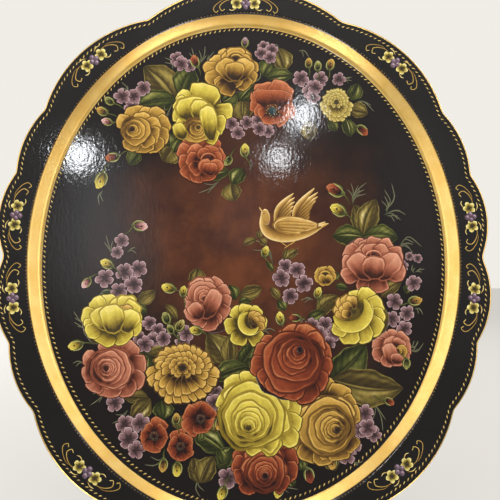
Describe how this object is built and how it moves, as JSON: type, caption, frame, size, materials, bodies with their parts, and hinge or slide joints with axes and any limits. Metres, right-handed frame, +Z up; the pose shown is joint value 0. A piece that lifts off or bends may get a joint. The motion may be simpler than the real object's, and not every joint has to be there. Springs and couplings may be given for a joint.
{
  "type": "painted tray",
  "caption": "Oval painted metal tray with a scalloped rolled rim, a gilded sunken wall and a small wire loop behind the top for hanging it on a wall.",
  "frame": {"origin": "centre of the flat back of the bottom, on the wall or table plane", "axes": "+Z up as it hangs, along the long side; +Y out of the back, towards the wall; +X to the right seen from the painted front"},
  "size_m": [0.4546, 0.0103, 0.5212],
  "materials": {
    "lacquered_sheet": "gloss",
    "iron_wire": "satin",
    "tinned_sheet": "satin",
    "solder": "satin",
    "bright_wire": "satin"
  },
  "bodies": {
    "tray": {"tray_shell": "lacquered_sheet", "rim_wire": "iron_wire", "hanger_strap": "tinned_sheet", "hanger_solder": "solder"},
    "loop": {"hanger_loop": "bright_wire"}
  },
  "joints": [
    {"name": "loop_swing", "type": "hinge", "parent": "tray", "child": "loop", "pos_m": [0, -0.00764, 0.2465], "axis": [1, 0, 0], "range_deg": [0, 180]}
  ]
}
